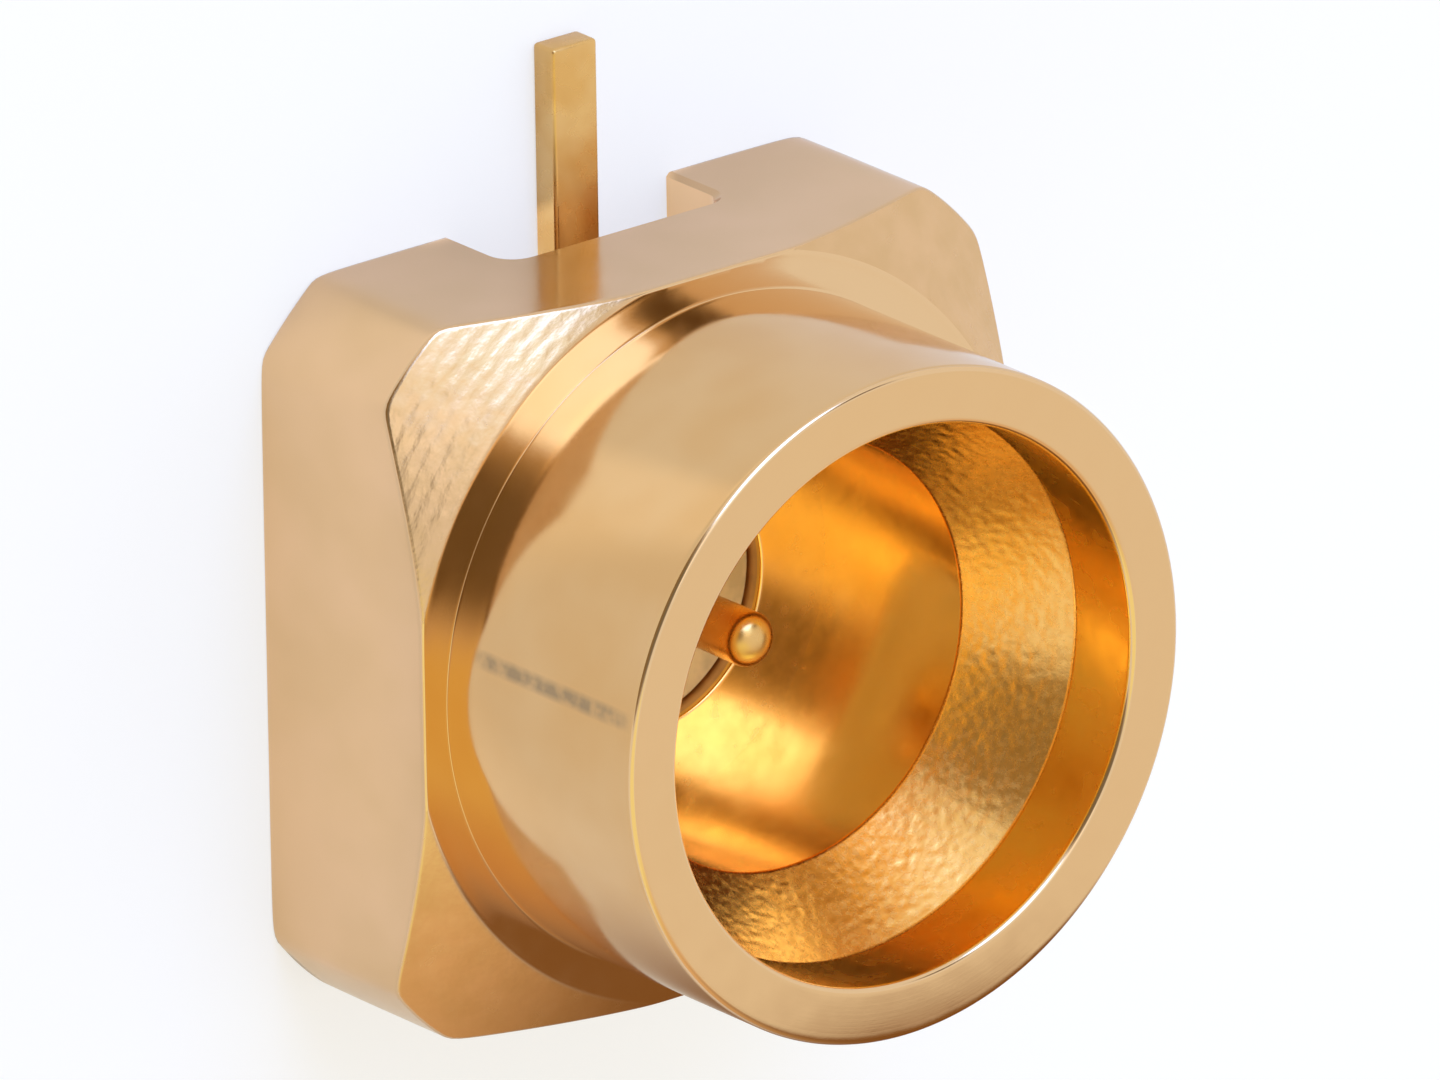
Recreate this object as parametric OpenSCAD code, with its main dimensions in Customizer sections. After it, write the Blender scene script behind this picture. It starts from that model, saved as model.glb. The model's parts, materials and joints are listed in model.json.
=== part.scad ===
// Coaxial push-on antenna connector for a circuit board.
// A turned and milled shell holds an insulating bead, and the bead holds the
// centre contact, whose flat solder tail leaves through a slot in the shell.
// Z is the mating axis, Z = 0 is the board face, and the tail points to +Y.
// All sizes are in millimetres and all angles in degrees.

/* [Flange] */
// Width across the flange's milled sides
flange_w = 5.08; // [4.9:0.02:6.4]
// Diameter of the turned bar, whose surface is left at the flange's four corners
bar_d = 6.56; // [6.44:0.02:7.2]
// Thickness of the flange at its crest, where the cone meets the sunk ring
flange_t = 1.7; // [1.3:0.02:2.4]
// Chamfer on the bar's rear edge, seen at the four corners
rear_chamfer = 0.08; // [0.02:0.01:0.15]
// Fall of the flange's conical front, from the crest out to the corners
front_slope = 30; // [10:1:35]

/* [Ring around the shroud's foot] */
// Width of the sunk ring, from the shroud to the crest
ring_w = 0.27; // [0.15:0.01:0.4]
// Depth of the ring below the crest
ring_depth = 0.06; // [0.02:0.01:0.12]
// Width of the ring's sloping outer wall
ring_wall = 0.03; // [0.01:0.01:0.06]
// Radius in the corner between the ring and the shroud
foot_r = 0.02; // [0.01:0.01:0.06]

/* [Shroud] */
// Height of the connector above the board
height = 3.63; // [3:0.01:5]
// Diameter of the mouth
mouth_d = 3.88; // [3.7:0.02:4.2]
// Width of the flat rim around the mouth
rim_w = 0.4; // [0.2:0.02:0.6]
// Length of the straight lip inside the mouth
lip_l = 0.59; // [0.2:0.01:0.8]
// Length of the funnel behind the lip
funnel_l = 0.67; // [0.4:0.01:0.9]
// Diameter of the mating bore
bore_d = 3; // [2.6:0.02:3.6]
// Rounding of the rim's outer and inner edges
rim_round = 0.04; // [0.02:0.01:0.08]

/* [Rear of the shell] */
// Depth of the bead's recess and of the tail's slot
recess_depth = 0.65; // [0.5:0.01:0.9]
// Diameter of the bead's recess
recess_d = 2.8; // [2.4:0.05:3.4]
// Thickness of the floor between the recess and the mating bore
floor_t = 0.28; // [0.2:0.02:0.6]
// Diameter of the hole through that floor
floor_hole_d = 1.89; // [1.5:0.01:2.2]
// Width of the slot that the tail leaves through
slot_w = 1.86; // [1.2:0.02:2.24]
// Radius in the slot's two inner corners
slot_round = 0.2; // [0.05:0.01:0.25]

/* [Insulating bead] */
// Gap between the bead and the metal it touches, on each side
bead_fit = 0.01; // [0.005:0.005:0.03]
// How far the bead's nose stays below the mating bore's floor
bead_nose_drop = 0.12; // [0:0.02:0.18]

/* [Centre contact] */
// Diameter of the pin
pin_d = 0.38; // [0.3:0.01:0.5]
// Reach of the pin above the mating bore's floor
pin_reach = 1.16; // [0.6:0.02:1.4]
// Height of the pin's domed tip
dome_h = 0.13; // [0.04:0.01:0.2]
// Diameter of the stem inside the bead
stem_d = 0.7; // [0.66:0.02:0.9]
// Diameter of the collar that locks the stem in the bead
collar_d = 0.96; // [0.92:0.02:1.2]
// Length of the collar
collar_l = 0.14; // [0.08:0.02:0.2]
// Width of the solder tail
tail_w = 0.38; // [0.3:0.01:0.45]
// Thickness of the solder tail
tail_t = 0.22; // [0.15:0.01:0.3]
// Reach of the tail past the flange
tail_reach = 1.19; // [0.5:0.01:2]
// Inner radius of the tail's bend
bend_r = 0.06; // [0.03:0.01:0.12]
// Radius of the tail's two end corners
tail_end_r = 0.04; // [0.02:0.01:0.14]

/* [Hidden] */

gold = [0.86, 0.66, 0.36];
contact_gold = [0.88, 0.7, 0.4];
bead_tan = [0.72, 0.5, 0.25];

round_fn = 128;
arc_steps = 12;
cut_over = 0.5;

shroud_r = mouth_d / 2 + rim_w;
ring_r = shroud_r + ring_w;
ring_z = flange_t - ring_depth;
floor_z = recess_depth + floor_t;
funnel_z = height - lip_l - funnel_l;
lip_z = height - lip_l;
bar_r = bar_d / 2;
edge_z = flange_t - (bar_r - ring_r) * tan(front_slope);

bead_back_z = tail_t + bend_r;
bead_nose_z = floor_z - bead_nose_drop;
collar_z = (bead_back_z + recess_depth - collar_l) / 2;
pin_tip_z = floor_z + pin_reach;
tail_end_y = flange_w / 2 + tail_reach;

// Points on an arc about centre c, from angle a0 to a1, ends included
function arc(c, r, a0, a1) = [
    for (i = [0 : arc_steps])
        let (a = a0 + (a1 - a0) * i / arc_steps)
            [c[0] + r * cos(a), c[1] + r * sin(a)]
];

// A round bar on the mating axis, from height z0 to height z1
module round_bar(d, z0, z1) {
    translate([0, 0, z0]) cylinder(d = d, h = z1 - z0, $fn = round_fn);
}

// The shell as it comes off the lathe, before its sides are milled square
module turned_outside() {
    rotate_extrude($fn = round_fn) polygon(concat(
        [[0, 0], [bar_r - rear_chamfer, 0], [bar_r, rear_chamfer], [bar_r, edge_z]],
        [[ring_r, flange_t], [ring_r - ring_wall, ring_z]],
        arc([shroud_r + foot_r, ring_z + foot_r], foot_r, 270, 180),
        arc([shroud_r - rim_round, height - rim_round], rim_round, 0, 90),
        [[0, height]]
    ));
}

// The square block that the milling leaves, wide enough to keep the whole shroud
module milled_block() {
    linear_extrude(height + cut_over) square(flange_w, center = true);
}

// The mating bore, the funnel and the mouth, as one turned cutter
module mouth_cutter() {
    r = mouth_d / 2;
    rotate_extrude($fn = round_fn) polygon(concat(
        [[0, floor_z], [bore_d / 2, floor_z], [bore_d / 2, funnel_z], [r, lip_z]],
        arc([r + rim_round, height - rim_round], rim_round, 180, 90),
        [[r + rim_round, height + cut_over], [0, height + cut_over]]
    ));
}

// Outline of the tail's slot, seen along Y, with its two inner corners rounded
module slot_outline() {
    s = slot_w / 2;
    polygon(concat(
        [[-s, -cut_over], [s, -cut_over]],
        arc([s - slot_round, recess_depth - slot_round], slot_round, 0, 90),
        arc([slot_round - s, recess_depth - slot_round], slot_round, 90, 180)
    ));
}

// The bead's recess, the slot and the hole through the floor
module rear_cutter() {
    round_bar(recess_d, -cut_over, recess_depth);
    round_bar(floor_hole_d, 0, floor_z + cut_over);
    translate([0, flange_w / 2 + cut_over, 0])
        rotate([90, 0, 0])
            linear_extrude(flange_w / 2 + cut_over) slot_outline();
}

module shell() {
    color(gold)
        difference() {
            intersection() {
                turned_outside();
                milled_block();
            }
            mouth_cutter();
            rear_cutter();
        }
}

// The bead fills the recess and reaches up through the floor, around the stem
module insulating_bead() {
    color(bead_tan)
        difference() {
            union() {
                round_bar(recess_d - 2 * bead_fit, bead_back_z, recess_depth - bead_fit);
                round_bar(floor_hole_d - 2 * bead_fit, bead_back_z, bead_nose_z);
            }
            round_bar(stem_d + 2 * bead_fit, bead_back_z - cut_over, bead_nose_z + cut_over);
            round_bar(collar_d + 2 * bead_fit, collar_z - bead_fit, collar_z + collar_l + bead_fit);
        }
}

// Pin, stem and collar, turned as one
module turned_pin() {
    rotate_extrude($fn = round_fn) polygon(concat(
        [
            [0, bead_back_z],
            [stem_d / 2, bead_back_z],
            [stem_d / 2, collar_z],
            [collar_d / 2, collar_z],
            [collar_d / 2, collar_z + collar_l],
            [stem_d / 2, collar_z + collar_l],
            [stem_d / 2, bead_nose_z],
            [pin_d / 2, bead_nose_z]
        ],
        [
            for (p = arc([0, 0], 1, 0, 90))
                [p[0] * pin_d / 2, pin_tip_z - dome_h + p[1] * dome_h]
        ]
    ));
}

// Side view of the tail: down from the stem, round the bend and out along Y
module tail_side() {
    half = tail_t / 2;
    centre = [half + bend_r, bead_back_z];
    polygon(concat(
        [[half, bead_back_z + collar_l], [-half, bead_back_z + collar_l]],
        arc(centre, bend_r + tail_t, 180, 270),
        [[tail_end_y, 0], [tail_end_y, tail_t]],
        arc(centre, bend_r, 270, 180)
    ));
}

// Plan of the tail, with its two end corners rounded
module tail_plan() {
    s = tail_w / 2;
    e = tail_end_y;
    polygon(concat(
        [[-s, -stem_d], [s, -stem_d]],
        arc([s - tail_end_r, e - tail_end_r], tail_end_r, 0, 90),
        arc([tail_end_r - s, e - tail_end_r], tail_end_r, 90, 180)
    ));
}

module solder_tail() {
    intersection() {
        rotate([90, 0, 90])
            translate([0, 0, -tail_w])
                linear_extrude(2 * tail_w) tail_side();
        linear_extrude(2 * bead_back_z) tail_plan();
    }
}

module centre_contact() {
    color(contact_gold)
        union() {
            turned_pin();
            solder_tail();
        }
}

shell();
insulating_bead();
centre_contact();
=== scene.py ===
"""Looks of a small push-on coaxial antenna connector for a circuit board.

A turned and milled gold shell, the insulating bead inside it and the centre contact
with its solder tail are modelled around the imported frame, in metres. Z is the mating
axis, Z = 0 is the board face and the solder tail points to +Y.
"""

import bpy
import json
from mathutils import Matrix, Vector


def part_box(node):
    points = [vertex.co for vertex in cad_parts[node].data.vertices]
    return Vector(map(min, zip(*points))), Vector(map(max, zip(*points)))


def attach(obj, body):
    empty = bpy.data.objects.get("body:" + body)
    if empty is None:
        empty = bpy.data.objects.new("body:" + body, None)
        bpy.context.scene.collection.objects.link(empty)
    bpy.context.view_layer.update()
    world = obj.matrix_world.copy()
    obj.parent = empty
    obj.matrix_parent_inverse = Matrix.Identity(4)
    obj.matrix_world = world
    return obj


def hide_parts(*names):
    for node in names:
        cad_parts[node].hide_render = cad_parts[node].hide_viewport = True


bl_info = {
    "name": "Coaxial antenna connector",
    "version": (1, 0, 0),
    "blender": (4, 5, 0),
    "location": "View3D > Sidebar > Connector",
    "description": "Models the shell, bead and contact of a coaxial antenna connector",
    "category": "Add Mesh",
}

import json
import math

import bpy
import numpy as np
from mathutils import Quaternion, Vector, noise

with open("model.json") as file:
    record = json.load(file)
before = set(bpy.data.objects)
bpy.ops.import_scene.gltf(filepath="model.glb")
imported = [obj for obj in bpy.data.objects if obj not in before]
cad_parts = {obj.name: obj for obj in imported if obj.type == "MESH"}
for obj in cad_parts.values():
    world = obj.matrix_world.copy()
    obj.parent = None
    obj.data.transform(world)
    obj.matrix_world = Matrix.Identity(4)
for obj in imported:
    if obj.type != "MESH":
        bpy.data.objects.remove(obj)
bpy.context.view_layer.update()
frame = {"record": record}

MM = 0.001
SHELL_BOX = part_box("shell")
BEAD_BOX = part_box("insulating_bead")
CONTACT_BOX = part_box("centre_contact")
MOUNTS = {mount["name"]: mount for mount in frame["record"]["mounts"]}

MICRON = 0.001 * MM
# Points nearer than these become one: where a spin closes, and after the milling
MERGE_GAP = 0.0001 * MM
MILLED_GAP = 0.0008 * MM
SHARP_ANGLE = math.radians(35)
# Steps round the shell and round the small turned pieces
SHELL_STEPS = 440
ROUND_STEPS = 128
# Spacing of the fine turned lines in the finishes
LINE_GAP = 0.02 * MM

# The turning marks are deepest about one corner of the front, in degrees
MARKS_CENTRE = 135
MARKS_SPREAD = 35
MARKS_LEAST = 0.12
# How much of a mark is a wave round the front, and how much is bumps
MARKS_WAVE = 0.55
MARKS_BUMPS = 1.4

# The dull, darker streak: its angle round the shroud and how far off it starts to fade and ends, in
# radians
STREAK_ANGLE = math.radians(169)
STREAK_FADE = 0.010
STREAK_END = 0.032
STREAK_COLOUR = (0.33, 0.24, 0.14)
STREAK_COVER = 0.8
STREAK_ROUGHNESS = 0.12


def length(name, description, default):
    """A length setting in metres."""
    return bpy.props.FloatProperty(
        name=name, description=description, default=default, min=0.0, soft_max=0.01,
        precision=6, subtype="DISTANCE", unit="LENGTH",
    )


def colour(name, description, default):
    """A linear colour setting."""
    return bpy.props.FloatVectorProperty(
        name=name, description=description, default=default, min=0.0, max=1.0,
        size=3, subtype="COLOR",
    )


def number(name, description, default):
    """A plain number setting."""
    return bpy.props.FloatProperty(name=name, description=description, default=default)


def angle(name, description, default):
    """An angle setting, given here in degrees."""
    return bpy.props.FloatProperty(
        name=name, description=description, default=math.radians(default),
        subtype="ANGLE", unit="ROTATION",
    )


class ShellSizes(bpy.types.PropertyGroup):
    """Sizes of the turned and milled shell."""

    flange_half: length("Flange half side", "Half the side of the flange", SHELL_BOX[1].x)
    flange_t: length("Flange thickness", "Height of the crest round the ring", 1.7 * MM)
    bar_r: length("Bar radius", "Radius of the turned bar, left at the corners", 3.28 * MM)
    rear_chamfer: length("Rear chamfer", "Chamfer on the bar's rear edge", 0.03 * MM)
    front_slope: angle("Front slope", "Fall of the conical front", 30)
    height: length("Height", "Height of the rim above the board", SHELL_BOX[1].z)
    mouth_r: length("Mouth radius", "Radius of the mouth", MOUNTS["mouth_lip"]["dims"]["r_mm"] * MM)
    rim_w: length("Rim width", "Width of the flat rim", 0.4 * MM)
    rim_round: length("Rim rounding", "Rounding of the rim's edges", 0.045 * MM)
    lip_l: length("Lip length", "Length of the straight lip", 0.59 * MM)
    funnel_l: length("Funnel length", "Length of the funnel", 0.67 * MM)
    bore_r: length("Bore radius", "Radius of the mating bore", 1.5 * MM)
    floor_z: length("Floor height", "Height of the bore's floor", MOUNTS["mating_bore"]["pos_m"][2])
    hole_r: length("Floor hole radius", "Radius of the hole in the floor", 0.945 * MM)
    recess_r: length("Recess radius", "Radius of the bead's recess", 1.4 * MM)
    recess_z: length("Recess depth", "Depth of the recess and the slot", 0.65 * MM)
    slot_half: length("Slot half width", "Half the width of the tail's slot", 0.93 * MM)
    slot_round: length("Slot rounding", "Radius in the slot's inner corners", 0.2 * MM)
    ring_w: length("Ring width", "Width of the sunk ring up to its crest", 0.27 * MM)
    ring_depth: length("Ring depth", "Depth of the ring below its crest", 0.01 * MM)
    ring_wall: length("Ring wall", "Width of the ring's sloping outer wall", 0.05 * MM)
    foot_r: length("Foot radius", "Radius in the corner under the shroud", 0.004 * MM)
    crest_soft: length("Crest softness", "How far the ring's edges are blunted", 0.01 * MM)
    front_round: length("Front edge", "Rounding of the flange's front edge", 0.022 * MM)
    rear_round: length("Rear edge", "Rounding of the flange's rear edge", 0.015 * MM)
    crease_front: length("Front crease", "Blunting of the corner creases in front", 0.025 * MM)
    crease_rear: length("Rear crease", "Blunting of the corner creases at the rear", 0.03 * MM)
    cut_pitch: length("Cut pitch", "Pitch of the turning marks on the front", 0.095 * MM)
    cut_depth: length("Cut depth", "Depth of the turning marks on the front", 0.0019 * MM)
    grain_size: length("Grain size", "Size of the grains on the funnel", 0.04 * MM)
    grain_depth: length("Grain depth", "Height of the grains on the funnel", 0.0029 * MM)


class ContactSizes(bpy.types.PropertyGroup):
    """Sizes of the centre contact and the bead."""

    pin_r: length("Pin radius", "Radius of the pin", MOUNTS["centre_pin"]["dims"]["r_mm"] * MM)
    dome_h: length("Dome height", "Height of the pin's domed tip", 0.13 * MM)
    stem_r: length("Stem radius", "Radius of the stem in the bead", 0.35 * MM)
    collar_r: length("Collar radius", "Radius of the locking collar", 0.48 * MM)
    collar_l: length("Collar length", "Length of the locking collar", 0.14 * MM)
    tail_w: length("Tail width", "Width of the solder tail", 0.38 * MM)
    tail_t: length("Tail thickness", "Thickness of the solder tail", 0.22 * MM)
    bend_r: length("Bend radius", "Inner radius of the tail's bend", 0.06 * MM)
    tail_edge: length("Tail edge", "Rounding of the tail's edges", 0.03 * MM)
    bead_fit: length("Bead fit", "Gap between the bead and the metal", 0.01 * MM)
    bead_edge: length("Bead edge", "Rounding of the bead's edges", 0.03 * MM)


class ConnectorColours(bpy.types.PropertyGroup):
    """Colours of the plating and the bead."""

    plating: colour("Plating", "Gold on the outside of the shell", (0.76, 0.50, 0.275))
    shroud: colour("Shroud", "Gold on the shroud", (0.77, 0.49, 0.225))
    rim: colour("Rim", "Gold on the flat rim", (0.775, 0.505, 0.25))
    # Painted highlight: the ring's gold is paler than the plating, so that the bright light it
    # reflects comes out less yellow
    ring: colour("Ring", "Gold in the sunk ring", (0.79, 0.54, 0.30))
    plating_deep: colour("Deep plating", "Darker patches of the outside gold", (0.71, 0.465, 0.24))
    # Painted light: the golds inside the mouth, from the lip down to the bore's floor, are brighter
    # and deeper than the plating, standing in for light reflected round inside the bore
    bore: colour("Bore", "Gold inside the mating bore", (1.0, 0.665, 0.19))
    bore_floor: colour("Bore floor", "Gold on the bore's floor", (0.98, 0.57, 0.26))
    funnel: colour("Funnel", "Gold on the grainy funnel", (1.0, 0.60, 0.19))
    lip: colour("Lip", "Gold on the mouth's straight lip", (1.0, 0.67, 0.13))
    contact: colour("Contact", "Gold on the centre contact", (0.80, 0.51, 0.20))
    bead: colour("Bead", "Amber polymer of the bead", (1.0, 0.69, 0.31))


class StageSettings(bpy.types.PropertyGroup):
    """Camera, floor and light."""

    camera_azimuth: angle("Camera azimuth", "Direction of the camera from +X", 148.584)
    camera_elevation: angle("Camera elevation", "Height of the camera above the floor", 46.976)
    camera_roll: angle("Camera roll", "Turn of the camera about its own axis", 113.136)
    camera_distance: length("Camera distance", "Camera to the point aimed at", 254 * MM)
    camera_lens: number("Camera lens", "Focal length in millimetres", 949.4)
    world_level: number("World level", "Brightness of the open studio", 0.95)


def activate(piece):
    """Selects one object only and makes it active."""
    bpy.ops.object.select_all(action="DESELECT")
    piece.select_set(True)
    bpy.context.view_layer.objects.active = piece


def edit(piece, select=True):
    """Opens a piece in edit mode with all or nothing selected."""
    activate(piece)
    bpy.ops.object.mode_set(mode="EDIT")
    bpy.ops.mesh.select_all(action="SELECT" if select else "DESELECT")


def arc(centre, radius, start, stop, steps):
    """Points on an arc, both ends included; angles in degrees."""
    points = []
    for i in range(steps + 1):
        turn = math.radians(start + (stop - start) * i / steps)
        points.append((centre[0] + radius * math.cos(turn), centre[1] + radius * math.sin(turn)))
    return points


def between(first, last, steps):
    """Evenly spaced points from first to last, both ends included."""
    return [
        tuple(a + (b - a) * i / steps for a, b in zip(first, last)) for i in range(steps + 1)
    ]


def section_loop(name, points):
    """A closed edge loop in the XZ plane, through (radius, height) points."""
    bpy.ops.object.select_all(action="DESELECT")
    bpy.ops.mesh.primitive_circle_add(vertices=len(points), radius=MM, fill_type="NOTHING")
    piece = bpy.context.object
    piece.name = name
    piece.data.name = name
    for vertex, point in zip(piece.data.vertices, points):
        vertex.co = (point[0], 0, point[1])
    return piece


def turn(piece, steps):
    """Spins a section about the mating axis into a closed body with outward normals."""
    edit(piece)
    bpy.ops.mesh.spin(
        steps=steps, angle=math.tau, center=(0, 0, 0), axis=(0, 0, 1), use_auto_merge=True
    )
    bpy.ops.mesh.select_all(action="SELECT")
    bpy.ops.mesh.remove_doubles(threshold=MERGE_GAP)
    bpy.ops.mesh.normals_make_consistent(inside=False)
    bpy.ops.object.mode_set(mode="OBJECT")


def finish_piece(piece, node):
    """Shades a piece and puts it on its body, in place of its node."""
    activate(piece)
    bpy.ops.object.shade_smooth_by_angle(angle=SHARP_ANGLE)
    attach(piece, "root")
    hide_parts(node)


# How each row of the shell's section is placed: as turned, or on the milled outline
TURNED, FRONT, FRONT_EDGE, SIDE, REAR = range(5)


def ring_radius(s):
    """Radius of the crest between the sunk ring and the cone."""
    return s.mouth_r + s.rim_w + s.ring_w


def front_height(s, radius):
    """Height of the turned front at a radius: the cone outside, the sunk ring inside."""
    crest = ring_radius(s)
    cone = s.flange_t - (radius - crest) * math.tan(s.front_slope)
    wall = s.flange_t + (radius - crest) * s.ring_depth / s.ring_wall
    ring_z = s.flange_t - s.ring_depth
    ring = (wall + ring_z + np.sqrt((wall - ring_z) ** 2 + s.crest_soft**2)) / 2
    return (cone + ring - np.sqrt((cone - ring) ** 2 + 4 * s.crest_soft**2)) / 2


def outline_radius(s, theta, inset, height=None):
    """Distance from the axis to the flange's outline, moved inwards by an inset.

    The corner creases have their front blunting, and near the rear face their rear one.
    """
    milled = (s.flange_half - inset) / np.maximum(np.abs(np.cos(theta)), np.abs(np.sin(theta)))
    turned = s.bar_r - inset
    change_height = 0.4 * MM
    share = 1 if height is None else np.clip(height / change_height, 0, 1)
    soft = s.crease_rear + (s.crease_front - s.crease_rear) * share
    return (milled + turned - np.sqrt((milled - turned) ** 2 + 4 * soft**2)) / 2


def edge_drop(inset, rounding):
    """How far a rounded edge lies below the face, at an inset from the outline."""
    short = np.clip(rounding - inset, 0, rounding)
    return rounding - np.sqrt(rounding**2 - short**2)


def shell_rows(s):
    """The shell's section as (radius, height, rule, inset) rows, round the solid metal.

    A SIDE row holds its share of the side's height in place of an inset.
    """
    shroud_r = s.mouth_r + s.rim_w
    crest = ring_radius(s)
    foot = shroud_r + s.foot_r
    ring_z = s.flange_t - s.ring_depth
    funnel_z = s.height - s.lip_l - s.funnel_l
    lip_z = s.height - s.lip_l
    small = 0.02 * MM
    rim_r = s.rim_round
    rows = []

    def turned(points):
        rows.extend((p[0], p[1], TURNED, 0) for p in points)

    # Hole through the floor, recess and rear face
    turned(arc((s.hole_r + small, s.recess_z + small), small, 180, 270, 3))
    turned(between((s.hole_r + 2 * small, s.recess_z), (s.recess_r - small, s.recess_z), 4))
    turned([(s.recess_r, s.recess_z), (s.recess_r, s.recess_z - small)])
    turned(between((s.recess_r, s.recess_z / 2), (s.recess_r, 2 * small), 1))
    turned(arc((s.recess_r + small, small), small, 180, 270, 3))
    turned([(s.recess_r + 2 * small, 0), (s.recess_r + 10 * small, 0)])
    # Rear edge, milled side and front edge
    for inset in (6 * s.rear_round, 1.4 * s.rear_round):
        rows.append((s.flange_half, 0, REAR, inset))
    for i in range(5):
        rows.append((s.flange_half, 0, REAR, s.rear_round * math.cos(math.radians(22.5 * i))))
    for share in (0.02, 0.1, 0.2, 0.35, 0.65, 0.98):
        rows.append((s.flange_half, 0, SIDE, share))
    for i in range(8):
        inset = s.front_round * (1 - math.cos(math.radians(90 * i / 7)))
        rows.append((s.flange_half, 0, FRONT_EDGE, inset))
    # Conical front, crest and sunk ring
    for radius, _ in between((s.bar_r, 0), (crest + small, 0), 60):
        rows.append((radius, 0, FRONT, 0))
    wall_end = crest - s.ring_wall - small / 2
    for radius, _ in between((crest + small / 2, 0), (wall_end, 0), 12):
        rows.append((radius, 0, FRONT, 0))
    for radius, _ in between((wall_end, 0), (foot + small, 0), 6)[1:]:
        rows.append((radius, 0, FRONT, 0))
    # Shroud and rim
    turned(arc((foot, ring_z + s.foot_r), s.foot_r, 270, 180, 3))
    turned(between((shroud_r, ring_z + 2 * s.foot_r), (shroud_r, s.height - rim_r - small), 12))
    turned(arc((shroud_r - rim_r, s.height - rim_r), rim_r, 0, 90, 7))
    flat = (shroud_r - rim_r - small, s.mouth_r + rim_r + small)
    turned(between((flat[0], s.height), (flat[1], s.height), 4))
    turned(arc((s.mouth_r + rim_r, s.height - rim_r), rim_r, 90, 180, 7))
    # Lip, funnel, bore and the bore's floor
    turned(between((s.mouth_r, s.height - rim_r - small), (s.mouth_r, lip_z + small), 5))
    turned([(s.mouth_r, lip_z)])
    turned(between((s.mouth_r, lip_z), (s.bore_r, funnel_z), 38)[1:])
    turned(between((s.bore_r, funnel_z - small), (s.bore_r, s.floor_z), 14))
    turned(between((s.bore_r - small, s.floor_z), (s.hole_r + 2 * small, s.floor_z), 6))
    turned(arc((s.hole_r + small, s.floor_z - small), small, 90, 180, 3))
    turned([(s.hole_r, s.floor_z - 2 * small), (s.hole_r, s.recess_z + 2 * small)])
    return rows


def turning_marks(s, x, y, radius):
    """Height of the lathe's marks on the conical front: waves round it, broken by bumps."""
    out = radius - ring_radius(s)
    first_mark = 0.01 * MM
    heights = np.zeros(len(x))
    for i in range(len(x)):
        if out[i] < first_mark:
            continue
        around = math.degrees(math.atan2(y[i], x[i]))
        rough = math.exp(-(((around - MARKS_CENTRE) / MARKS_SPREAD) ** 2))
        share = MARKS_LEAST + (1 - MARKS_LEAST) * rough
        place = Vector((x[i], y[i], 0)) / s.cut_pitch
        wander = noise.noise(place * 0.8)
        wave = math.cos(math.tau * out[i] / s.cut_pitch + 1.5 * wander)
        bumps = noise.noise(place * 1.3 + Vector((7, 3, 1)))
        fade = min(1.0, out[i] / (0.4 * s.cut_pitch))
        heights[i] = s.cut_depth * fade * share * (MARKS_WAVE * wave + MARKS_BUMPS * bumps)
    return heights


def mill_flange(piece, s):
    """Moves the rows outside the shroud onto the milled outline and cuts the marks."""
    mesh = piece.data
    count = len(mesh.vertices)
    co = np.zeros(count * 3)
    mesh.vertices.foreach_get("co", co)
    co = co.reshape(-1, 3)
    rule = np.zeros(count, np.int32)
    inset = np.zeros(count, np.float32)
    mesh.attributes["rule"].data.foreach_get("value", rule)
    mesh.attributes["inset"].data.foreach_get("value", inset)
    inset = inset.astype(float)
    theta = np.arctan2(co[:, 1], co[:, 0])
    radius = np.hypot(co[:, 0], co[:, 1])
    height = co[:, 2].copy()

    inner = outline_radius(s, theta, s.front_round)
    front = rule == FRONT
    radius[front] = np.minimum(radius, inner)[front]
    height[front] = front_height(s, radius)[front]

    edge = rule == FRONT_EDGE
    at_inset = outline_radius(s, theta, inset)
    radius[edge] = at_inset[edge]
    height[edge] = (front_height(s, radius) - edge_drop(inset, s.front_round))[edge]

    side = rule == SIDE
    outer = outline_radius(s, theta, 0)
    top = front_height(s, outer) - s.front_round
    height[side] = (s.rear_round + inset * (top - s.rear_round))[side]
    radius[side] = outline_radius(s, theta, 0, height)[side]

    rear = rule == REAR
    radius[rear] = outline_radius(s, theta, inset, 0)[rear]
    height[rear] = edge_drop(inset, s.rear_round)[rear]

    low = side | rear
    chamfered = s.bar_r - np.maximum(s.rear_chamfer - height, 0)
    radius[low] = np.minimum(radius, chamfered)[low]

    x, y = radius * np.cos(theta), radius * np.sin(theta)
    marked = front | edge
    marks = turning_marks(s, x[marked], y[marked], radius[marked])
    fade = np.where(edge[marked], np.clip(inset[marked] / s.front_round, 0, 1), 1)
    height[marked] += marks * fade
    mesh.vertices.foreach_set("co", np.stack([x, y, height], axis=1).ravel())
    mesh.update()


def grain_funnel(piece, s):
    """Raises the grains on the funnel, along the funnel's own normal."""
    funnel_z = s.height - s.lip_l - s.funnel_l
    lip_z = s.height - s.lip_l
    slope = Vector((s.funnel_l, s.bore_r - s.mouth_r)).normalized()
    margin = 0.01 * MM
    fade_length = 0.06 * MM
    for vertex in piece.data.vertices:
        place = vertex.co
        radius = math.hypot(place.x, place.y)
        if not funnel_z + margin < place.z < lip_z - margin:
            continue
        if radius > s.mouth_r + margin:
            continue
        fade = min(1.0, min(place.z - funnel_z, lip_z - place.z) / fade_length)
        grains = noise.noise(place / s.grain_size)
        grains += 0.6 * noise.noise(place / (0.5 * s.grain_size))
        lift = s.grain_depth * fade * grains
        inward = Vector((place.x, place.y, 0)) / radius
        vertex.co = place - inward * (lift * slope.x) + Vector((0, 0, -lift * slope.y))


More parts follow.
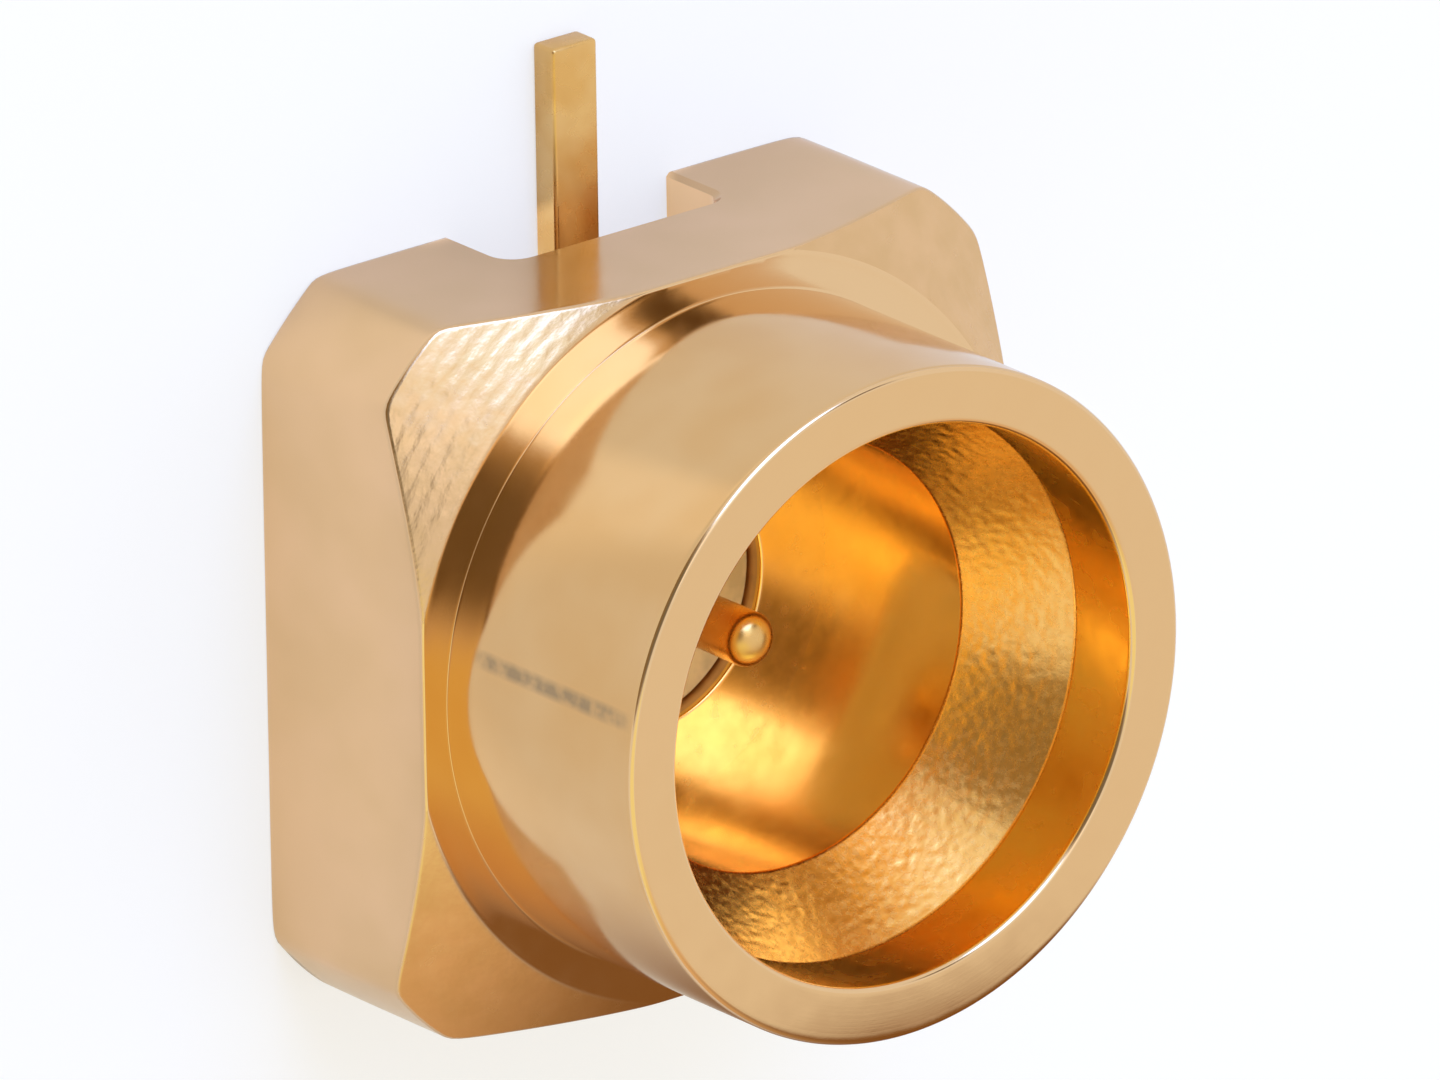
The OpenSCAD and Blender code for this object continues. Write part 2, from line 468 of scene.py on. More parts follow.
def slot_cutter(s):
    """The block that mills the tail's slot, with its mouth flared to break the edge."""
    flare = 0.035 * MM
    over = 0.1 * MM
    low = -0.5 * MM
    # Just below the end of the recess, so that no two faces lie in one plane
    top = s.recess_z - 0.5 * MICRON
    start_y = 0.3 * MM
    end_y = s.flange_half - flare
    bpy.ops.object.select_all(action="DESELECT")
    bpy.ops.mesh.primitive_cube_add(size=1, location=(0, 0, 0))
    cutter = bpy.context.object
    cutter.name = "slot_cutter"
    for vertex in cutter.data.vertices:
        vertex.co.x = math.copysign(s.slot_half, vertex.co.x)
        vertex.co.y = end_y if vertex.co.y > 0 else start_y
        vertex.co.z = top if vertex.co.z > 0 else low
    edit(cutter, select=False)
    bpy.ops.mesh.select_mode(type="EDGE")
    bpy.ops.object.mode_set(mode="OBJECT")
    points = cutter.data.vertices
    for e in cutter.data.edges:
        a, b = (points[i].co for i in e.vertices)
        e.select = a.z > 0 and b.z > 0 and abs(a.y - b.y) > MM / 2
    bpy.ops.object.mode_set(mode="EDIT")
    bpy.ops.mesh.bevel(offset=s.slot_round, segments=8, affect="EDGES")
    bpy.ops.mesh.select_mode(type="FACE")
    bpy.ops.mesh.select_all(action="DESELECT")
    bpy.ops.object.mode_set(mode="OBJECT")
    for face in cutter.data.polygons:
        face.select = face.normal.y > 0.9
    bpy.ops.object.mode_set(mode="EDIT")
    grow = flare + over
    bpy.ops.mesh.extrude_region_move(TRANSFORM_OT_translate={"value": (0, grow, 0)})
    tall = top - low
    bpy.ops.transform.resize(
        value=((s.slot_half + grow) / s.slot_half, 1, (tall + grow) / tall),
        center_override=(0, end_y + grow, low),
    )
    bpy.ops.mesh.select_all(action="SELECT")
    bpy.ops.mesh.normals_make_consistent(inside=False)
    bpy.ops.object.mode_set(mode="OBJECT")
    return cutter


def combine(piece, other, operation):
    """Joins another object to a piece, or cuts it out, and removes that object."""
    activate(piece)
    modifier = piece.modifiers.new("combine", "BOOLEAN")
    modifier.object = other
    modifier.operation = operation
    modifier.solver = "EXACT"
    bpy.ops.object.modifier_apply(modifier=modifier.name)
    bpy.data.objects.remove(other)


def node(tree, kind, **inputs):
    """Adds a shader node and sets its inputs by name; a socket makes a link."""
    made = tree.nodes.new(kind)
    for name, value in inputs.items():
        socket = made.inputs[name.replace("_", " ")]
        if isinstance(value, bpy.types.NodeSocket):
            tree.links.new(value, socket)
        else:
            socket.default_value = value
    return made


def maths(tree, operation, first, second=0.0):
    """The result of one Math node."""
    made = tree.nodes.new("ShaderNodeMath")
    made.operation = operation
    for socket, value in zip(made.inputs, (first, second)):
        if isinstance(value, bpy.types.NodeSocket):
            tree.links.new(value, socket)
        else:
            socket.default_value = value
    return made.outputs[0]


def mapped(tree, value, low, high, to_low, to_high):
    """A value mapped from one range to another, clamped."""
    made = node(tree, "ShaderNodeMapRange", Value=value)
    made.inputs["From Min"].default_value = low
    made.inputs["From Max"].default_value = high
    made.inputs["To Min"].default_value = to_low
    made.inputs["To Max"].default_value = to_high
    return made.outputs["Result"]


def window(tree, value, start, full, fall, stop):
    """One from full to fall, and zero before start and after stop."""
    rise = mapped(tree, value, start, full, 0.0, 1.0)
    return maths(tree, "MULTIPLY", rise, mapped(tree, value, fall, stop, 1.0, 0.0))


def mixed(tree, factor, first, second):
    """A colour mixed from two, each a tone or a socket, by a factor that is a socket."""
    made = tree.nodes.new("ShaderNodeMix")
    made.data_type = "RGBA"
    for key, value in (("Factor", factor), ("A", first), ("B", second)):
        socket = next(i for i in made.inputs if i.name == key and i.enabled)
        if isinstance(value, bpy.types.NodeSocket):
            tree.links.new(value, socket)
        else:
            socket.default_value = (*value, 1.0)
    return next(o for o in made.outputs if o.enabled)


def patches(tree, place, size, detail=2.0):
    """Soft noise from 0 to 1, with features of about a given size in metres."""
    made = node(tree, "ShaderNodeTexNoise", Vector=place, Scale=1 / size, Detail=detail)
    return made.outputs["Fac"]


def lines(tree, place, size):
    """One-dimensional noise for fine turned lines, by radius or by height."""
    made = tree.nodes.new("ShaderNodeTexNoise")
    made.noise_dimensions = "1D"
    tree.links.new(place, made.inputs["W"])
    made.inputs["Scale"].default_value = 1 / size
    made.inputs["Detail"].default_value = 1.0
    return made.outputs["Fac"]


def find(tree, kind):
    """The first node of a kind in a tree."""
    return next(n for n in tree.nodes if n.type == kind)


def new_material(name):
    """A material with a bare Principled shader; returns material, tree and shader."""
    material = bpy.data.materials.new(name)
    material.use_nodes = True
    tree = material.node_tree
    return material, tree, find(tree, "BSDF_PRINCIPLED")


def surface(tree, factor, first, second):
    """Shows one shader or another as the surface, by a factor."""
    mix = node(tree, "ShaderNodeMixShader", Fac=factor)
    tree.links.new(first.outputs[0], mix.inputs[1])
    tree.links.new(second.outputs[0], mix.inputs[2])
    tree.links.new(mix.outputs[0], find(tree, "OUTPUT_MATERIAL").inputs["Surface"])


def object_place(tree):
    """The piece's own coordinates in metres."""
    return tree.nodes.new("ShaderNodeTexCoord").outputs["Object"]


def radius_of(tree, place):
    """Distance from the mating axis."""
    split = node(tree, "ShaderNodeSeparateXYZ", Vector=place)
    squares = maths(
        tree, "ADD",
        maths(tree, "MULTIPLY", split.outputs["X"], split.outputs["X"]),
        maths(tree, "MULTIPLY", split.outputs["Y"], split.outputs["Y"]),
    )
    return maths(tree, "SQRT", squares)


def height_of(tree, place):
    """Height above the board."""
    return node(tree, "ShaderNodeSeparateXYZ", Vector=place).outputs["Z"]


def angle_of(tree, place):
    """Angle about the mating axis, in radians from +X."""
    split = node(tree, "ShaderNodeSeparateXYZ", Vector=place)
    return maths(tree, "ARCTAN2", split.outputs["Y"], split.outputs["X"])


def add_dull_streak(tree, shader):
    """A dull, broken, darker streak along the shroud, on its -X side."""
    place = object_place(tree)
    off = maths(tree, "ABSOLUTE", maths(tree, "SUBTRACT", angle_of(tree, place), STREAK_ANGLE))
    across = mapped(tree, off, STREAK_FADE, STREAK_END, 1.0, 0.0)
    along = window(tree, height_of(tree, place), 1.9 * MM, 2.1 * MM, 3.4 * MM, 3.6 * MM)
    broken = mapped(tree, patches(tree, place, 0.12 * MM), 0.3, 0.6, 0.35, 1.0)
    mask = maths(tree, "MULTIPLY", maths(tree, "MULTIPLY", across, along), broken)
    base = shader.inputs["Base Color"].links[0].from_socket
    dull = mixed(tree, maths(tree, "MULTIPLY", mask, STREAK_COVER), base, STREAK_COLOUR)
    tree.links.new(dull, shader.inputs["Base Color"])
    rough = shader.inputs["Roughness"].links[0].from_socket
    more = maths(tree, "MULTIPLY", mask, STREAK_ROUGHNESS)
    tree.links.new(maths(tree, "ADD", rough, more), shader.inputs["Roughness"])


def add_chatter(tree, shader):
    """Short chatter marks in rows round the front, over the turned waves."""
    place = object_place(tree)
    row_gap, mark_length, mean_radius = 0.035 * MM, 0.08 * MM, 2.9 * MM
    row = maths(tree, "MULTIPLY", radius_of(tree, place), 1 / row_gap)
    along = maths(tree, "MULTIPLY", angle_of(tree, place), mean_radius / mark_length)
    both = node(tree, "ShaderNodeCombineXYZ", X=row, Y=along)
    marks = node(tree, "ShaderNodeTexNoise", Vector=both.outputs["Vector"], Scale=1.0, Detail=1.5)
    height = maths(tree, "MULTIPLY", marks.outputs["Fac"], 0.0018 * MM)
    bump = find(tree, "BUMP")
    base = bump.inputs["Height"].links[0].from_socket
    tree.links.new(maths(tree, "ADD", base, height), bump.inputs["Height"])


def gold(name, light, deep, rough, patch, grain, grain_height, line_of=None, line_height=0.0):
    """Gold plating: two tones in soft patches, uneven roughness, grain and turned lines.

    patch and grain are sizes in metres, and so are the heights of the grain and the lines.
    """
    material, tree, shader = new_material(name)
    place = object_place(tree)
    tone = mapped(tree, patches(tree, place, patch), 0.35, 0.65, 0.0, 1.0)
    tree.links.new(mixed(tree, tone, light, deep), shader.inputs["Base Color"])
    shader.inputs["Metallic"].default_value = 1.0
    uneven = patches(tree, place, patch * 0.4)
    tree.links.new(
        mapped(tree, uneven, 0.3, 0.7, rough * 0.8, rough * 1.25), shader.inputs["Roughness"]
    )
    height = maths(tree, "MULTIPLY", patches(tree, place, grain, 3.0), grain_height)
    if line_of is not None:
        marks = lines(tree, line_of(tree, place), LINE_GAP)
        height = maths(tree, "ADD", height, maths(tree, "MULTIPLY", marks, line_height))
    bump = node(tree, "ShaderNodeBump", Height=height, Distance=1.0, Strength=1.0)
    tree.links.new(bump.outputs["Normal"], shader.inputs["Normal"])
    return material


# The shell's material slots, in the order that shell_materials makes them
OUTSIDE, SHROUD, FRONT_FACE, RIM, FUNNEL, BORE, BORE_FLOOR, RING, LIP = range(9)


def deeper(tone, red, green, blue):
    """A tone with its channels lowered to the given shares."""
    return (tone[0] * red, tone[1] * green, tone[2] * blue)


def shell_materials(colours):
    """Finishes of the shell, in the order of its material slots."""
    light, deep = tuple(colours.plating), tuple(colours.plating_deep)
    shroud, rim, ring = tuple(colours.shroud), tuple(colours.rim), tuple(colours.ring)
    bore, floor = tuple(colours.bore), tuple(colours.bore_floor)
    funnel, lip = tuple(colours.funnel), tuple(colours.lip)
    shroud_deep = deeper(shroud, 0.96, 0.91, 0.82)
    bore_deep = deeper(bore, 0.97, 0.94, 0.85)
    floor_deep = deeper(floor, 0.97, 0.95, 0.9)
    funnel_deep = deeper(funnel, 0.97, 0.92, 0.8)
    um = MICRON
    # After the two tones: roughness, the sizes of patches and grain, and the grain's height
    made = [
        gold("plated_outside", light, deep, 0.15, 0.9 * MM, 0.03 * MM, 0.2 * um),
        gold(
            "plated_shroud", shroud, shroud_deep, 0.11, 0.8 * MM, 0.03 * MM, 0.08 * um,
            line_of=height_of, line_height=0.03 * um,
        ),
        gold(
            "turned_front", light, deep, 0.22, 0.3 * MM, 0.02 * MM, 0.5 * um,
            line_of=radius_of, line_height=0.2 * um,
        ),
        gold(
            "turned_rim", rim, rim, 0.2, 0.6 * MM, 0.02 * MM, 0.2 * um,
            line_of=radius_of, line_height=0.15 * um,
        ),
        # Painted light: the funnel, bore, bore floor and lip get brighter, deeper copies of the
        # plating, standing in for light reflected round inside the mouth
        gold("grainy_funnel", funnel, funnel_deep, 0.25, 0.1 * MM, 0.02 * MM, 0.7 * um),
        gold("polished_bore", bore, bore_deep, 0.16, 0.5 * MM, 0.03 * MM, 0.1 * um),
        gold("bore_floor", floor, floor_deep, 0.23, 0.3 * MM, 0.02 * MM, 0.1 * um),
        # Painted highlight: the sunk ring's paler gold makes its bright reflections come out less
        # yellow
        gold("sunk_ring", ring, ring, 0.12, 0.5 * MM, 0.03 * MM, 0.08 * um),
        gold("polished_lip", lip, lip, 0.25, 0.5 * MM, 0.03 * MM, 0.1 * um),
    ]
    for index, add in ((SHROUD, add_dull_streak), (FRONT_FACE, add_chatter)):
        tree = made[index].node_tree
        add(tree, find(tree, "BSDF_PRINCIPLED"))
    return made


def assign_shell_faces(piece, s):
    """Gives each face of the shell its finish, by place and normal."""
    crest = ring_radius(s)
    funnel_z = s.height - s.lip_l - s.funnel_l
    lip_z = s.height - s.lip_l
    ring_z = s.flange_t - s.ring_depth
    edge = 0.005 * MM
    for face in piece.data.polygons:
        centre = face.center
        radius = math.hypot(centre.x, centre.y)
        up = face.normal.z
        if centre.z > s.floor_z - 0.05 * MM and radius < s.mouth_r + edge:
            if funnel_z + edge < centre.z < lip_z - edge:
                face.material_index = FUNNEL
            elif up > 0.9 and centre.z < s.floor_z + edge:
                face.material_index = BORE_FLOOR
            else:
                face.material_index = LIP if centre.z > lip_z else BORE
        elif centre.z > s.height - s.rim_round and up > 0.99:
            face.material_index = RIM
        elif radius > crest and up > 0.6 and centre.z > s.recess_z:
            face.material_index = FRONT_FACE
        elif centre.z > ring_z - edge and radius <= crest:
            face.material_index = RING if up > 0.5 else SHROUD
        else:
            face.material_index = OUTSIDE


class CONNECTOR_OT_shell(bpy.types.Operator):
    """Turn the shell, mill its flange square and cut the tail's slot"""

    bl_idname = "connector.shell"
    bl_label = "Shell"

    def execute(self, context):
        s = context.scene.shell_sizes
        rows = shell_rows(s)
        piece = section_loop("turned_shell", rows)
        rule = piece.data.attributes.new("rule", "INT", "POINT")
        rule.data.foreach_set("value", np.array([r[2] for r in rows], np.int32))
        inset = piece.data.attributes.new("inset", "FLOAT", "POINT")
        inset.data.foreach_set("value", np.array([r[3] for r in rows], np.float32))
        # Rows that follow the milled outline are spun far apart, then mill_flange places them
        for vertex, row in zip(piece.data.vertices, rows):
            if row[2] != TURNED:
                vertex.co.z = -vertex.index * MM
        turn(piece, SHELL_STEPS)
        mill_flange(piece, s)
        grain_funnel(piece, s)
        edit(piece)
        bpy.ops.mesh.remove_doubles(threshold=MILLED_GAP)
        bpy.ops.mesh.normals_make_consistent(inside=False)
        bpy.ops.object.mode_set(mode="OBJECT")
        combine(piece, slot_cutter(s), "DIFFERENCE")
        for material in shell_materials(context.scene.connector_colours):
            piece.data.materials.append(material)
        assign_shell_faces(piece, s)
        finish_piece(piece, "shell")
        return {"FINISHED"}


class CONNECTOR_OT_bead(bpy.types.Operator):
    """Turn the insulating bead that carries the centre contact"""

    bl_idname = "connector.bead"
    bl_label = "Insulating bead"

    def execute(self, context):
        s, c = context.scene.shell_sizes, context.scene.contact_sizes
        low, high = BEAD_BOX[0].z, BEAD_BOX[1].z
        outer, nose = s.recess_r - c.bead_fit, s.hole_r - c.bead_fit
        step = s.recess_z - c.bead_fit
        inner, locked = c.stem_r + c.bead_fit, c.collar_r + c.bead_fit
        collar_z = (low + s.recess_z - c.collar_l) / 2
        e = c.bead_edge
        points = arc((inner + e, low + e), e, 180, 270, 4)
        points += arc((outer - e, low + e), e, 270, 360, 4)
        points += arc((outer - e, step - e), e, 0, 90, 4)
        points += [(nose + e, step), (nose, step)]
        points += arc((nose - e, high - e), e, 0, 90, 4)
        points += arc((inner + e, high - e), e, 90, 180, 4)
        points += [
            (inner, collar_z + c.collar_l + c.bead_fit),
            (locked, collar_z + c.collar_l + c.bead_fit),
            (locked, collar_z - c.bead_fit),
            (inner, collar_z - c.bead_fit),
        ]
        piece = section_loop("moulded_bead", points)
        turn(piece, ROUND_STEPS)
        material, tree, shader = new_material("bead_polymer")
        place = object_place(tree)
        base = tuple(context.scene.connector_colours.bead)
        deep = tuple(0.8 * value for value in base)
        tone = mapped(tree, patches(tree, place, 0.15 * MM), 0.35, 0.65, 0.0, 1.0)
        tree.links.new(mixed(tree, tone, base, deep), shader.inputs["Base Color"])
        shader.inputs["Roughness"].default_value = 0.6
        shader.inputs["Specular IOR Level"].default_value = 0.25
        height = maths(tree, "MULTIPLY", patches(tree, place, 0.02 * MM), 0.001 * MM)
        bump = node(tree, "ShaderNodeBump", Height=height, Distance=1.0)
        tree.links.new(bump.outputs["Normal"], shader.inputs["Normal"])
        piece.data.materials.append(material)
        finish_piece(piece, "insulating_bead")
        return {"FINISHED"}


def turned_pin(s, c):
    """Domed pin, stem and collar as one turned body."""
    low, high = BEAD_BOX[0].z, BEAD_BOX[1].z
    tip = CONTACT_BOX[1].z
    collar_z = (low + s.recess_z - c.collar_l) / 2
    small = 0.01 * MM
    points = [(0, low), (c.stem_r - small, low), (c.stem_r, low + small)]
    points += [(c.stem_r, collar_z), (c.collar_r, collar_z)]
    points += [(c.collar_r, collar_z + c.collar_l), (c.stem_r, collar_z + c.collar_l)]
    points += arc((c.stem_r - small, high - small), small, 0, 90, 3)
    points += [(c.pin_r + small, high)]
    points += between((c.pin_r, high + small), (c.pin_r, tip - c.dome_h), 6)
    for across, up in arc((0, 0), 1, 0, 90, 20)[1:]:
        points.append((across * c.pin_r, tip - c.dome_h + up * c.dome_h))
    pin = section_loop("turned_contact", points)
    turn(pin, ROUND_STEPS)
    return pin


def solder_tail(c):
    """The flat tail: down from the stem, round the bend and out over the board."""
    top = BEAD_BOX[0].z
    half = c.tail_t / 2
    bpy.ops.object.select_all(action="DESELECT")
    bpy.ops.mesh.primitive_cube_add(size=1, location=(0, 0, 0))
    tail = bpy.context.object
    tail.name = "tail"
    for vertex in tail.data.vertices:
        vertex.co.x *= c.tail_w
        vertex.co.y *= c.tail_t
        vertex.co.z = top + (c.collar_l if vertex.co.z > 0 else 0)
    edit(tail, select=False)
    bpy.ops.mesh.select_mode(type="FACE")
    bpy.ops.object.mode_set(mode="OBJECT")
    for face in tail.data.polygons:
        face.select = face.normal.z < -0.9
    bpy.ops.object.mode_set(mode="EDIT")
    bpy.ops.mesh.spin(
        steps=10, angle=-math.radians(90), center=(0, half + c.bend_r, top), axis=(1, 0, 0)
    )
    bpy.ops.object.mode_set(mode="OBJECT")
    out = max(tail.data.polygons, key=lambda face: face.center.y)
    reach = CONTACT_BOX[1].y - out.center.y
    for face in tail.data.polygons:
        face.select = face == out
    bpy.ops.object.mode_set(mode="EDIT")
    for share in (0.2, 0.4, 0.4):
        bpy.ops.mesh.extrude_region_move(TRANSFORM_OT_translate={"value": (0, reach * share, 0)})
    bpy.ops.mesh.select_all(action="SELECT")
    bpy.ops.mesh.normals_make_consistent(inside=False)
    bpy.ops.mesh.select_all(action="DESELECT")
    bpy.ops.mesh.select_mode(type="EDGE")
    bpy.ops.mesh.edges_select_sharp(sharpness=math.radians(50))
    bpy.ops.mesh.bevel(offset=c.tail_edge, segments=4, affect="EDGES")
    bpy.ops.object.mode_set(mode="OBJECT")
    return tail


class CONNECTOR_OT_contact(bpy.types.Operator):
    """Turn the pin, bend the solder tail and join them"""

    bl_idname = "connector.contact"
    bl_label = "Centre contact"

    def execute(self, context):
        s, c = context.scene.shell_sizes, context.scene.contact_sizes
        piece = turned_pin(s, c)
        combine(piece, solder_tail(c), "UNION")
        tone = tuple(context.scene.connector_colours.contact)
        deep = deeper(tone, 0.93, 0.85, 0.7)
        piece.data.materials.append(
            gold("contact_plating", tone, deep, 0.28, 0.35 * MM, 0.03 * MM, 0.3 * MICRON)
        )
        finish_piece(piece, "centre_contact")
        return {"FINISHED"}


def direction(azimuth, elevation):
    """Unit vector for an azimuth from +X and an elevation, in degrees."""
    a, e = math.radians(azimuth), math.radians(elevation)
    return Vector((math.cos(a) * math.cos(e), math.sin(a) * math.cos(e), math.sin(e)))


# Broad studio patches: azimuth, elevation, inner and outer angle in degrees, colour
STUDIO_PATCHES = [
    (-125, 46, 25, 36, (1.12, 1.1, 0.62)),
    (-80, 26, 10, 42, (0.87, 0.62, 0.36)),
    (154, 22, 23, 31, (0.28, 0.20, 0.10)),
    (84, 63, 6, 14, (0.95, 1.25, 1.65)),
    (91, 41, 18, 21, (2.0, 3.0, 6.0)),
    (151, 47, 8, 26, (0.22, 0.2, 0.155)),
    (48, 47, 5, 9, (0.14, 0.10, 0.04)),
]

# The floor's own colour, and that colour as the camera sees it
FLOOR_MATT = (0.6, 0.6, 0.6)
FLOOR_MATT_SEEN = (0.38, 0.38, 0.38)
# The floor's glow to the camera and in reflections, and what two places add in reflections
FLOOR_GLOW_SEEN = 0.62
FLOOR_GLOW_MIRRORED = 0.3
FLOOR_GLOW_BESIDE = 0.18
FLOOR_GLOW_UNDER_SLOT = 0.4

# The painted shadow, a dark sheet that only reflections show: its place along Y, its corners in X
# and Z, and its colour
PAINTED_SHADOW_Y = -3.2 * MM
PAINTED_SHADOW_CORNERS = ((-3, 0.01), (4.5, 0.01), (4.5, 6.1), (-3, 6.1))
PAINTED_SHADOW_COLOUR = (0.26, 0.125, 0.04, 1)

# The lamp: azimuth and elevation in degrees, distance and diameter in metres, brightness
LAMP_PLACE = (100, 66)
LAMP_DISTANCE = 0.6
LAMP_SIZE = 0.35
LAMP_LEVEL = 0.35

CAMERA_AIM = Vector((0.8448, 0.1068, 0.6209)) * MM


def build_world(stage):
    """An open pale studio with broad lighter and darker patches round it."""
    world = bpy.data.worlds.new("studio")
    bpy.context.scene.world = world
    world.use_nodes = True
    tree = world.node_tree
    tree.nodes.clear()
    coordinates = tree.nodes.new("ShaderNodeTexCoord")
    look = tree.nodes.new("ShaderNodeVectorMath")
    look.operation = "NORMALIZE"
    tree.links.new(coordinates.outputs["Generated"], look.inputs[0])
    level = stage.world_level
    shade = (level, level, level)
    for azimuth, elevation, inner, outer, tone in STUDIO_PATCHES:
        dot = tree.nodes.new("ShaderNodeVectorMath")
        dot.operation = "DOT_PRODUCT"
        tree.links.new(look.outputs["Vector"], dot.inputs[0])
        dot.inputs[1].default_value = direction(azimuth, elevation)
        near, far = math.cos(math.radians(inner)), math.cos(math.radians(outer))
        factor = node(tree, "ShaderNodeMapRange", Value=dot.outputs["Value"])
        factor.interpolation_type = "SMOOTHSTEP"
        factor.inputs["From Min"].default_value = far
        factor.inputs["From Max"].default_value = near
        shade = mixed(tree, factor.outputs["Result"], shade, tone)
    background = node(tree, "ShaderNodeBackground", Color=shade, Strength=1.0)
    output = tree.nodes.new("ShaderNodeOutputWorld")
    tree.links.new(background.outputs["Background"], output.inputs["Surface"])


def build_floor():
    """A wide white floor that shows white and still keeps the object's shadow."""
    bpy.ops.object.select_all(action="DESELECT")
    bpy.ops.mesh.primitive_plane_add(size=1.2, location=(0, 0, -0.002 * MM))
    floor = bpy.context.object
    floor.name = "studio_floor"
    material, tree, shader = new_material("white_floor")
    tree.nodes.remove(shader)
    path = tree.nodes.new("ShaderNodeLightPath").outputs
    camera_ray = path["Is Camera Ray"]
    mirrored = maths(tree, "MAXIMUM", path["Is Glossy Ray"], path["Is Transmission Ray"])
    split = node(tree, "ShaderNodeSeparateXYZ", Vector=object_place(tree))
    x, y = split.outputs["X"], split.outputs["Y"]
    # Reflections show the floor a little brighter beside the -X side and under the slot
    beside = maths(
        tree, "MULTIPLY",
        window(tree, x, -4.2 * MM, -3.5 * MM, -2.5 * MM, -2.0 * MM),
        mapped(tree, y, -3.4 * MM, -1.2 * MM, 0.0, FLOOR_GLOW_BESIDE),
    )
    under_slot = maths(
        tree, "MULTIPLY",
        window(tree, y, 1.5 * MM, 1.9 * MM, 2.5 * MM, 2.6 * MM),
        mapped(tree, maths(tree, "ABSOLUTE", x), 1.0 * MM, 1.2 * MM, FLOOR_GLOW_UNDER_SLOT, 0.0),
    )
    more = maths(tree, "ADD", maths(tree, "ADD", beside, under_slot), FLOOR_GLOW_MIRRORED)
    strength = maths(
        tree, "ADD",
        maths(tree, "MULTIPLY", camera_ray, FLOOR_GLOW_SEEN),
        maths(tree, "MULTIPLY", mirrored, more),
    )
    albedo = mixed(tree, camera_ray, FLOOR_MATT, FLOOR_MATT_SEEN)
    matt = node(tree, "ShaderNodeBsdfDiffuse", Color=albedo)
    glow = node(tree, "ShaderNodeEmission", Color=(1, 1, 1, 1), Strength=strength)
    both = tree.nodes.new("ShaderNodeAddShader")
    tree.links.new(matt.outputs[0], both.inputs[0])
    tree.links.new(glow.outputs[0], both.inputs[1])
    # From below, the floor is clear
    clear = tree.nodes.new("ShaderNodeBsdfTransparent")
    below = tree.nodes.new("ShaderNodeNewGeometry").outputs["Backfacing"]
    surface(tree, below, both, clear)
    floor.data.materials.append(material)


def build_painted_shadow_sheet():
    """A painted soft shadow: a dark brown sheet, which only reflections show, close to the -Y side.
    """
    bpy.ops.object.select_all(action="DESELECT")
    bpy.ops.mesh.primitive_plane_add(size=MM, location=(0, 0, 0))
    shadow_sheet = bpy.context.object
    shadow_sheet.name = "studio_flag"
    for index, (x, z) in zip(shadow_sheet.data.polygons[0].vertices, PAINTED_SHADOW_CORNERS):
        shadow_sheet.data.vertices[index].co = (x * MM, PAINTED_SHADOW_Y, z * MM)
    material, tree, shader = new_material("dark_flag")
    tree.nodes.remove(shader)
    shown = tree.nodes.new("ShaderNodeLightPath").outputs["Is Glossy Ray"]
    split = node(tree, "ShaderNodeSeparateXYZ", Vector=object_place(tree))
    x, z = split.outputs["X"], split.outputs["Z"]
    # Below this height the painted shadow's -X edge slants outwards
    lower = maths(tree, "MAXIMUM", maths(tree, "SUBTRACT", 3.3 * MM, z), 0)
    near = maths(tree, "ADD", x, maths(tree, "MULTIPLY", lower, 0.45))
    # Each soft edge: the value it follows, where it starts and stops in mm, and its two levels
    edges = ((near, -2.3, 0.5, 0, 1), (x, 2.5, 4.4, 1, 0), (z, 0.0, 1.9, 0, 1), (z, 5.3, 6.0, 1, 0))
    for value, start, stop, first, last in edges:
        fade = node(tree, "ShaderNodeMapRange", Value=value)
        fade.interpolation_type = "SMOOTHSTEP"
        fade.inputs["From Min"].default_value = start * MM
        fade.inputs["From Max"].default_value = stop * MM
        fade.inputs["To Min"].default_value = first
        fade.inputs["To Max"].default_value = last
        shown = maths(tree, "MULTIPLY", shown, fade.outputs["Result"])
    clear = tree.nodes.new("ShaderNodeBsdfTransparent")
    dark = node(tree, "ShaderNodeEmission", Color=PAINTED_SHADOW_COLOUR, Strength=1.0)
    surface(tree, shown, clear, dark)
    shadow_sheet.data.materials.append(material)


def build_lamp():
    """One large soft lamp overhead."""
    bpy.ops.object.select_all(action="DESELECT")
    toward = direction(*LAMP_PLACE)
    bpy.ops.object.light_add(type="AREA", location=toward * LAMP_DISTANCE)
    lamp = bpy.context.object
    lamp.name = "overhead_softbox"
    lamp.rotation_mode = "QUATERNION"
    lamp.rotation_quaternion = toward.to_track_quat("Z", "Y")
    lamp.data.shape = "DISK"
    lamp.data.size = LAMP_SIZE
    area = math.pi * (LAMP_SIZE / 2) ** 2
    lamp.data.energy = LAMP_LEVEL * math.pi * area


